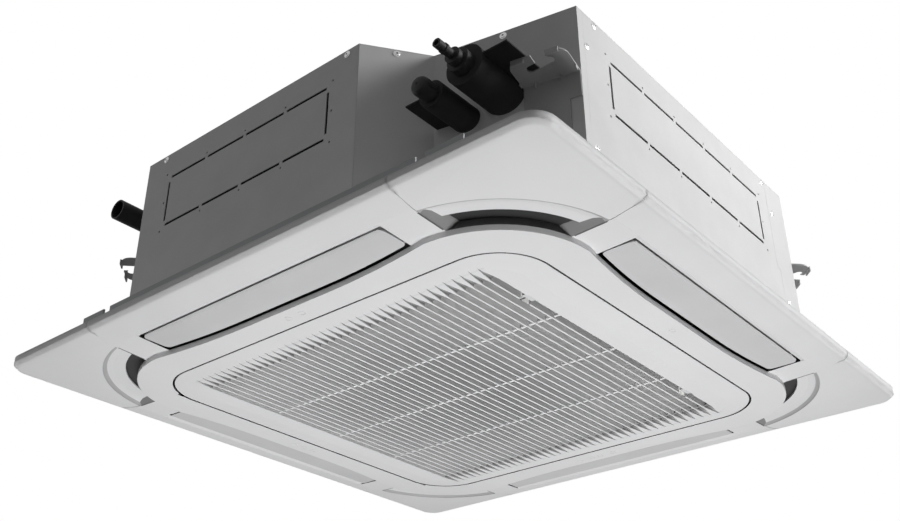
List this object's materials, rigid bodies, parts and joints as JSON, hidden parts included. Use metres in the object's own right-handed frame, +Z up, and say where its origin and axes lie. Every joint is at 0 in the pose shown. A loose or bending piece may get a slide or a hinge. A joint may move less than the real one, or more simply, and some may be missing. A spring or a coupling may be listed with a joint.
{
  "type": "ceiling cassette air conditioner",
  "caption": "Square sheet metal body with hanger brackets and a piping corner, over a panel with a hinged intake grille, swing flaps and corner covers.",
  "frame": {"origin": "centre of the panel on the plane of its rim's top edge, which meets the ceiling", "axes": "+Z up into the ceiling, -Y towards the front side, where the gas and liquid pipes and the drain socket leave, +X along the front edge towards the piping corner"},
  "size_m": [0.95, 0.95, 0.3138],
  "materials": {
    "casing_steel": "satin",
    "hanger_steel": "satin",
    "screw_steel": "satin",
    "foam_white": "matte",
    "motor_housing": "satin",
    "shaft_steel": "satin",
    "fan_plastic": "matte",
    "fin_aluminium": "satin",
    "tube_copper": "satin",
    "pump_plastic": "matte",
    "hose_plastic": "satin",
    "black_plastic": "matte",
    "black_foam": "matte",
    "float_plastic": "satin",
    "bell_plastic": "matte",
    "board_green": "satin",
    "terminal_plastic": "satin",
    "panel_plastic": "satin",
    "strip_plastic": "matte",
    "seal_foam": "matte",
    "motor_plastic": "satin",
    "flap_plastic": "matte",
    "net_plastic": "matte",
    "latch_plastic": "satin"
  },
  "bodies": {
    "indoor_unit": {"top_plate": "casing_steel", "front_plate": "casing_steel", "right_plate": "casing_steel", "back_plate": "casing_steel", "left_plate": "casing_steel", "piping_corner_plate": "casing_steel", "back_right_corner_plate": "casing_steel", "back_left_corner_plate": "casing_steel", "front_left_corner_plate": "casing_steel", "foam_liner": "foam_white", "front_right_hanger": "hanger_steel", "back_right_hanger": "hanger_steel", "back_left_hanger": "hanger_steel", "front_left_hanger": "hanger_steel", "casing_screws": "screw_steel", "fan_motor": "motor_housing", "motor_mounts": "black_foam", "coil_fins": "fin_aluminium", "coil_tubes": "tube_copper", "coil_end_plates": "casing_steel", "drain_pan": "foam_white", "drain_pump": "pump_plastic", "pump_hose": "hose_plastic", "drain_socket": "black_plastic", "float_switch": "pump_plastic", "bell_mouth": "bell_plastic", "control_box": "casing_steel", "control_box_cover": "casing_steel", "circuit_board": "board_green", "terminal_block": "terminal_plastic", "gas_pipe": "tube_copper", "liquid_pipe": "tube_copper", "gas_pipe_insulation": "black_foam", "liquid_pipe_insulation": "black_foam", "gas_pipe_cap": "black_plastic", "liquid_pipe_cap": "black_plastic", "panel_frame": "panel_plastic", "edge_strip": "strip_plastic", "outlet_seal": "seal_foam", "front_right_cover": "panel_plastic", "back_right_cover": "panel_plastic", "back_left_cover": "panel_plastic", "front_left_cover": "panel_plastic", "panel_screws": "screw_steel", "flap_motors": "motor_plastic"},
    "fan": {"motor_shaft": "shaft_steel", "turbo_fan": "fan_plastic", "fan_nut": "shaft_steel"},
    "grille": {"intake_grille": "panel_plastic", "grille_hinge_pins": "shaft_steel", "air_filter": "net_plastic"},
    "back_grille_latch": {"back_latch": "latch_plastic"},
    "front_grille_latch": {"front_latch": "latch_plastic"},
    "front_swing_flap": {"front_flap": "flap_plastic"},
    "right_swing_flap": {"right_flap": "flap_plastic"},
    "back_swing_flap": {"back_flap": "flap_plastic"},
    "left_swing_flap": {"left_flap": "flap_plastic"},
    "water_float": {"float": "float_plastic"}
  },
  "joints": [
    {"name": "fan_spin", "type": "hinge", "parent": "indoor_unit", "child": "fan", "pos_m": [0, 0, 0.15], "axis": [0, 0, 1], "continuous": true},
    {"name": "grille_hinge", "type": "hinge", "parent": "indoor_unit", "child": "grille", "pos_m": [-0.3222, 0, -0.028], "axis": [0, 1, 0], "range_deg": [0, 85]},
    {"name": "back_latch_slide", "type": "slide", "parent": "grille", "child": "back_grille_latch", "axis": [-1, 0, 0], "range_m": [0, 0.005], "stiffness_N_per_m": 200, "springref_m": -0.003},
    {"name": "front_latch_slide", "type": "slide", "parent": "grille", "child": "front_grille_latch", "axis": [-1, 0, 0], "range_m": [0, 0.005], "stiffness_N_per_m": 200, "springref_m": -0.003},
    {"name": "front_flap_hinge", "type": "hinge", "parent": "indoor_unit", "child": "front_swing_flap", "pos_m": [0, -0.3855, -0.013], "axis": [1, 0, 0], "range_deg": [0, 55]},
    {"name": "right_flap_hinge", "type": "hinge", "parent": "indoor_unit", "child": "right_swing_flap", "pos_m": [0.3855, 0, -0.013], "axis": [0, 1, 0], "range_deg": [0, 55]},
    {"name": "back_flap_hinge", "type": "hinge", "parent": "indoor_unit", "child": "back_swing_flap", "pos_m": [0, 0.3855, -0.013], "axis": [-1, 0, 0], "range_deg": [0, 55]},
    {"name": "left_flap_hinge", "type": "hinge", "parent": "indoor_unit", "child": "left_swing_flap", "pos_m": [-0.3855, 0, -0.013], "axis": [0, -1, 0], "range_deg": [0, 55]},
    {"name": "float_rise", "type": "slide", "parent": "indoor_unit", "child": "water_float", "axis": [0, 0, 1], "range_m": [0, 0.01]}
  ]
}
